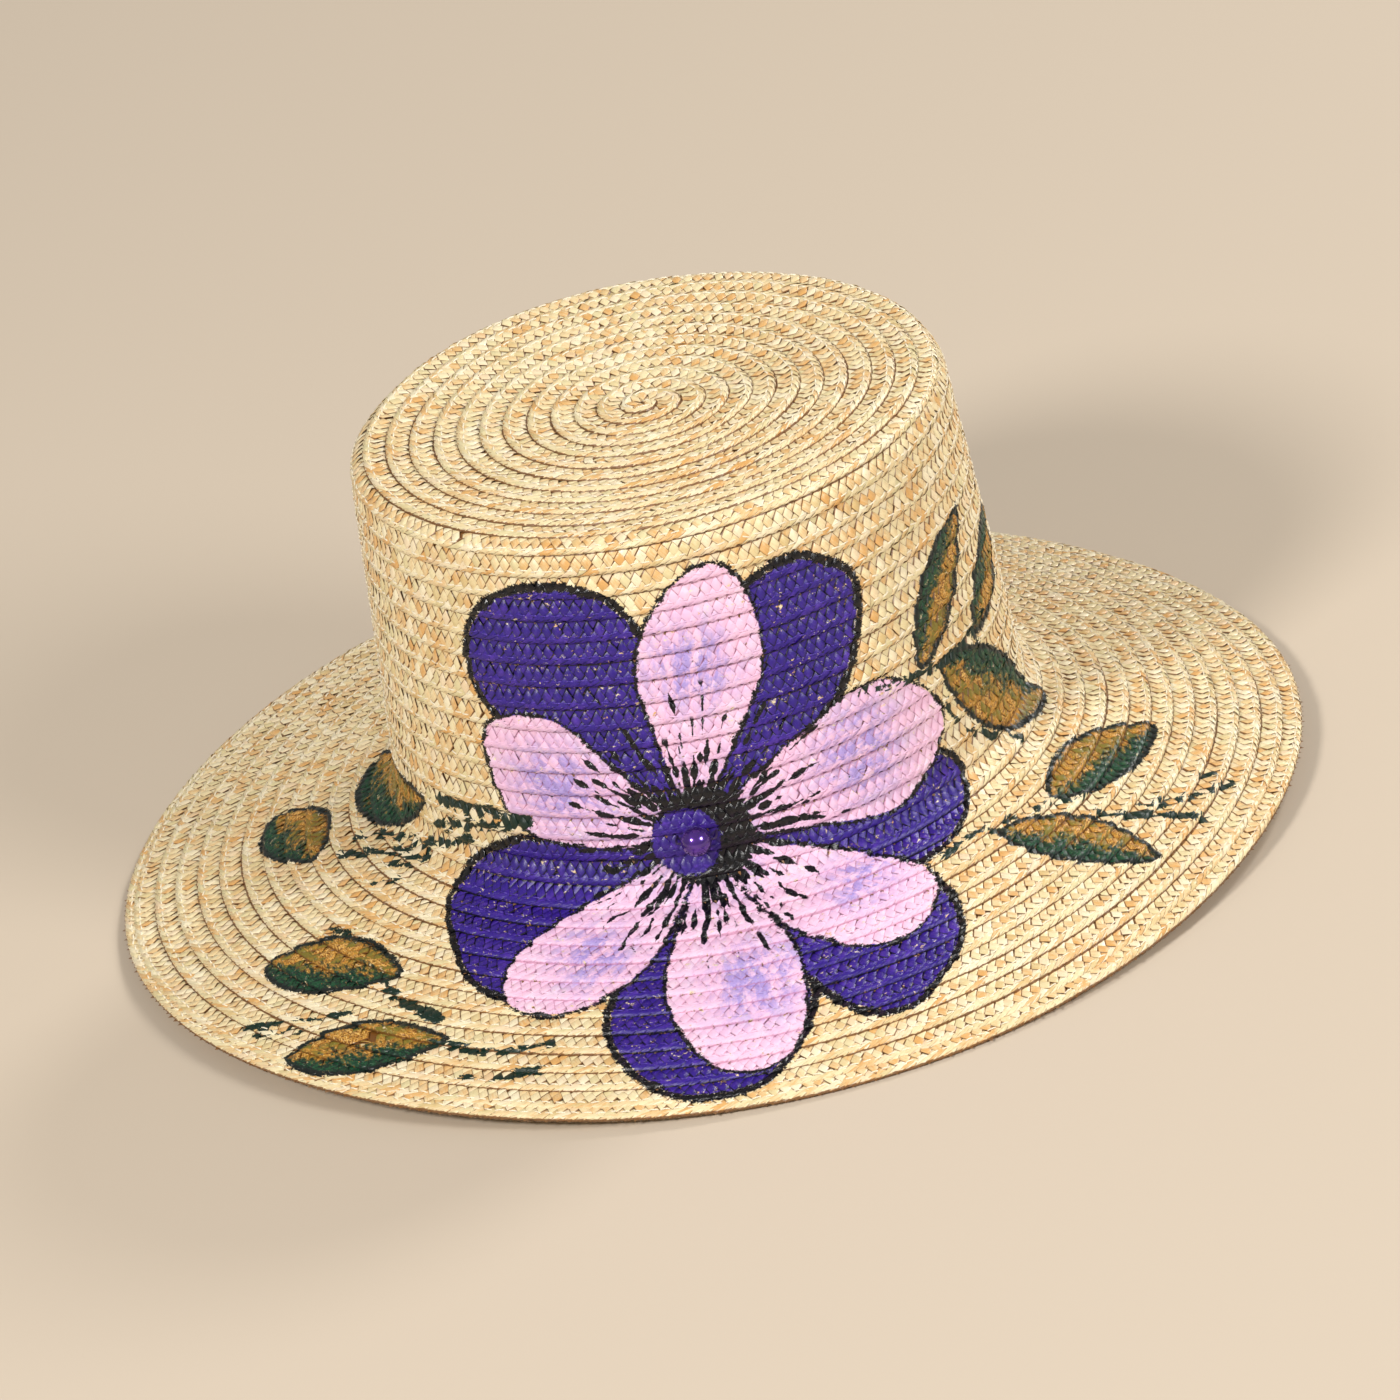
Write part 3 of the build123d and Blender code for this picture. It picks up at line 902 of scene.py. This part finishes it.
def make_band_stitches():
    """The running stitches that sew the sweatband's hem to the crown."""
    patchwork = Patchwork()
    count, length = 130, 3.0
    p, q = patch_places(STITCH)
    lean = rng.normal(0, 0.05, (count, 1))
    angle = np.arange(count)[:, None] / count * TURN + (p - 0.5) * length / BAND_RADIUS
    radius = BAND_RADIUS + 1.3 + 0.25 * q + lean
    height = BAND_BOTTOM + 0.35 - 0.42 * (1 - 0.5 * q**2) * (1 - np.abs(2 * p - 1) ** 6)
    angle, radius, height = np.broadcast_arrays(angle, radius, height)
    points = np.stack([radius * np.cos(angle), radius * np.sin(angle), height], axis=-1)
    blank = np.zeros(angle.shape)
    fields = painted(angle, blank + 200.0, outside=False)
    local = np.stack([angle * BAND_RADIUS, q + blank, blank], axis=-1)
    crease = np.abs(2 * p - 1) ** 4 + blank
    patchwork.add(points, grid_faces(5, 3), straw=local, crease=crease, tone=blank, **fields)
    declare(patchwork.build("stitches_sweatband", thread), "sweatband_thread")


def ribbon_material():
    """Grosgrain ribbon: fine ribs across the band, with a matt cream weave."""
    n = Nodes("ribbon")
    along, up, _ = n.split(n.attribute("cloth", "Vector"))
    rib = n.math("SINE", n.math("MULTIPLY", along, TURN / 0.9))
    weave = n.math("SINE", n.math("MULTIPLY", up, TURN / 0.35))
    mottle = n.noise(n.attribute("cloth", "Vector"), 0.15, 3.0)
    # Painted highlight and shade on the ribs: lighter on their crests, darker between them, with a real
    # mottle of the cloth.
    colour = n.mix(n.between(n.sum(rib, (mottle, 1.5)), -1.2, 1.2), rgb(214, 196, 160), rgb(238, 226, 200))
    height = n.sum(rib, (weave, 0.3))
    bump = n.node("Bump", Height=height, Strength=0.5, Distance=0.0002)
    roughness = n.sum(0.74, (mottle, 0.15))
    shader = n.node(
        "BsdfPrincipled", Base_Color=colour, Roughness=roughness, Normal=bump, Sheen_Weight=0.25
    )
    return n.finish(shader)


def pearl_material():
    """A violet pearl: a deep lustre under a clear gloss, a little cloudy."""
    n = Nodes("pearl")
    place = n.node("TexCoord", out=3)
    cloud = n.noise(place, 260.0, 3.0)
    colour = n.mix(n.between(cloud, -0.2, 0.25), rgb(60, 28, 118), rgb(92, 48, 158))
    bump = n.node("Bump", Height=cloud, Strength=0.06, Distance=0.0001)
    shader = n.node(
        "BsdfPrincipled", Base_Color=colour, Roughness=n.sum(0.2, (cloud, 0.08)), Normal=bump,
        Metallic=0.6, Coat_Weight=1.0, Coat_Roughness=0.05,
    )
    return n.finish(shader)


def bead_thread_material():
    """Dark violet twisted thread."""
    n = Nodes("bead_thread")
    along, cosine, sine = n.split(n.attribute("straw", "Vector"))
    phase = n.math("MULTIPLY", along, 5.0)
    strand = n.math("MULTIPLY", n.math("COSINE", phase), sine)
    twist = n.sum(n.math("MULTIPLY", n.math("SINE", phase), cosine), (strand, 1.0))
    # Painted highlight and shade: lighter violet on the strands' ridges, nearly black in their grooves.
    colour = n.mix(n.between(twist, -1.0, 1.0), rgb(26, 16, 44), rgb(70, 48, 104))
    bump = n.node("Bump", Height=twist, Strength=0.6, Distance=0.0001)
    roughness = n.sum(0.5, (twist, 0.05))
    return n.finish(n.node("BsdfPrincipled", Base_Color=colour, Roughness=roughness, Normal=bump))


def make_bead():
    """The pearl's lustre, and the loop of thread that holds it through the crown."""
    bead = bpy.data.objects["pearl_bead"]
    bead.data.materials.clear()
    bead.data.materials.append(pearl_material())
    low, high = (np.array(corner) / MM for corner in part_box("bead_thread"))
    middle = (np.array(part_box("pearl_bead")[0]) + np.array(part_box("pearl_bead")[1])) / 2 / MM
    out = np.array([0, -math.cos(side_taper), math.sin(side_taper)])
    foot = middle - out * 4.8
    half, depth = (high[0] - low[0]) / 2 - 0.4, 3.0
    loop = [(-3, 4.8), (3, 4.8), (half - 0.6, 4.5), (half, 3.2), (half, 0.6), (half - 0.3, -depth + 0.6)]
    loop += [(half - 1.6, -depth), (1.6 - half, -depth), (0.3 - half, 0.6 - depth)]
    loop += [(-half, 0.6), (-half, 3.2), (0.6 - half, 4.5)]
    path = smooth_outline(loop, samples=8)
    heading = np.roll(path, -1, 0) - np.roll(path, 1, 0)
    heading /= np.linalg.norm(heading, axis=1)[:, None]
    turn = np.linspace(0, TURN, 9)[None, :-1, None]
    along, across = np.array([1.0, 0, 0]), np.cross([1.0, 0, 0], out)
    centre = foot + along * path[:, :1] + out * path[:, 1:]
    side = along * -heading[:, 1:] + out * heading[:, :1]
    points = centre[:, None] + 0.36 * (side[:, None] * np.cos(turn) + across * np.sin(turn))
    travelled = np.arange(len(path))[:, None, None] * 0.55 + 0 * turn
    local = np.concatenate([travelled, np.cos(turn) + 0 * travelled, np.sin(turn) + 0 * travelled], axis=-1)
    patchwork = Patchwork()
    patchwork.add(points.reshape(1, -1, 3), tube_faces(len(path), 8, joined=True), straw=local)
    declare(patchwork.build("bead_stitch", bead_thread_material()), "bead_thread")


make_sweatband()
make_band_stitches()
make_bead()

# ----------------------------------------------------------------------
# Floor, light and camera
# ----------------------------------------------------------------------
def make_floor():
    """A plain pale floor that fills the view."""
    bpy.ops.mesh.primitive_plane_add(size=30.0, location=(0, 0, 0))
    floor = bpy.context.object
    floor.name = "floor"
    n = Nodes("floor")
    shader = n.node("BsdfPrincipled", Base_Color=rgb(198, 184, 166), Roughness=0.8)
    floor.data.materials.append(n.finish(shader))


def area_light(name, place, aim, size, power, colour):
    """A soft box aimed at a point."""
    data = bpy.data.lights.new(name, "AREA")
    data.shape, data.size, data.energy, data.color = "DISK", size, power, colour
    lamp = bpy.data.objects.new(name, data)
    lamp.location = place
    lamp.rotation_euler = (Vector(aim) - Vector(place)).to_track_quat("-Z", "Y").to_euler()
    bpy.context.scene.collection.objects.link(lamp)


def make_camera():
    """The camera, a long lens above the front of the hat, rolled because the hat leans in the view."""
    elevation, azimuth, roll = math.radians(27.356), math.radians(5.93), math.radians(-11.312)
    distance, focal, sensor, picture = 2.8119, 9485.8, 36.0, 1400
    right_aim, up_aim = -0.001, 0.003
    back = Vector((0, -math.cos(elevation), math.sin(elevation)))
    right = Vector((1, 0, 0))
    up = right.cross(-back)
    rolled_right = right * math.cos(roll) + up * math.sin(roll)
    rolled_up = up * math.cos(roll) - right * math.sin(roll)
    forward = (-back + rolled_right * right_aim + rolled_up * up_aim).normalized()
    side = (rolled_right - forward * rolled_right.dot(forward)).normalized()
    basis = Matrix((side, side.cross(forward), -forward)).transposed().to_4x4()
    centre_height = (tip_height - crown_height) * MM
    place = Matrix.Translation(back * distance + Vector((0, 0, centre_height))) @ basis
    data = bpy.data.cameras.new("camera")
    data.sensor_width = sensor
    data.lens = focal * sensor / picture
    data.clip_end = 100
    camera = bpy.data.objects.new("camera", data)
    camera.matrix_world = Matrix.Rotation(azimuth, 4, "Z") @ place
    bpy.context.scene.collection.objects.link(camera)
    bpy.context.scene.camera = camera


def make_light():
    """Soft studio light from the upper left, a fill from the right and a pale surrounding."""
    area_light("key", (-1.3, -1.9, 1.8), (0, 0, 0.05), 0.6, 62, (1.0, 0.97, 0.93))
    area_light("fill", (1.9, -1.3, 1.5), (0, 0, 0.05), 0.9, 42, (1.0, 0.98, 0.95))
    area_light("rim", (1.3, 1.5, 1.5), (0, 0, 0.08), 0.5, 26, (1.0, 0.98, 0.95))
    world = bpy.data.worlds.new("studio")
    world.use_nodes = True
    world.node_tree.nodes["Background"].inputs["Color"].default_value = (1.0, 0.96, 0.9, 1.0)
    world.node_tree.nodes["Background"].inputs["Strength"].default_value = 0.32
    bpy.context.scene.world = world


make_floor()
make_light()
make_camera()
bpy.context.scene.view_settings.view_transform = "Standard"
